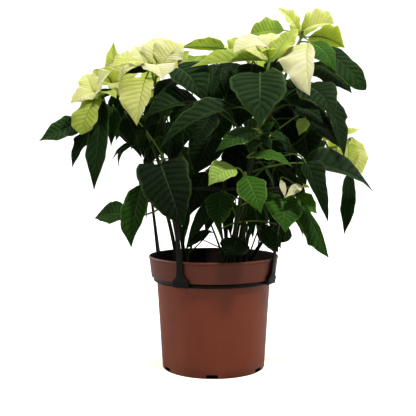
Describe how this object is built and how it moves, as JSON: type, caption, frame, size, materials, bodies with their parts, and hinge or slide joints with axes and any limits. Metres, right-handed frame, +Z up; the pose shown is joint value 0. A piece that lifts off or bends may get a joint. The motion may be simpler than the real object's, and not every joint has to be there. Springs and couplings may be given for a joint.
{
  "type": "potted poinsettia",
  "caption": "Poinsettia with pale cream-green bracts over dark toothed leaves, standing in a tapered plastic nursery pot with a hooped plant support.",
  "frame": {"origin": "middle of the flat underside of the pot, on the surface it stands on", "axes": "+Z up along the axis of the pot, -Y towards the front of the plant, +X to the right seen from the front"},
  "size_m": [0.431, 0.3297, 0.4672],
  "materials": {
    "pot": "satin moulded terracotta-brown plastic",
    "soil": "dark moist potting soil",
    "support": "near-black green moulded plastic",
    "foliage": "soft satin leaf with a pale midrib",
    "bract": "soft cream to yellow-green bract with fine veins",
    "bud": "waxy yellow-green flower bud"
  },
  "bodies": {
    "root": {"pot": "pot", "soil": "soil", "support_ring_lower": "support", "support_ring_upper": "support", "support_upright_1": "support", "support_upright_2": "support", "support_upright_3": "support", "support_upright_4": "support", "stem_01": "foliage", "stem_02": "foliage", "stem_03": "foliage", "stem_04": "foliage", "stem_05": "foliage", "stem_06": "foliage", "stem_07": "foliage", "stem_08": "foliage", "stem_09": "foliage", "stem_10": "foliage", "stem_11": "foliage", "stem_12": "foliage", "stem_13": "foliage", "bloom_01": "bract", "bloom_02": "bract", "bloom_03": "bract", "bloom_04": "bract", "bloom_05": "bract", "bloom_06": "bract", "bloom_07": "bract", "bloom_08": "bract", "bloom_09": "bract", "bloom_10": "bract", "cyathia_01": "bud", "cyathia_02": "bud", "cyathia_03": "bud", "cyathia_04": "bud", "cyathia_05": "bud", "cyathia_06": "bud", "cyathia_07": "bud", "cyathia_08": "bud", "cyathia_09": "bud"}
  },
  "joints": []
}
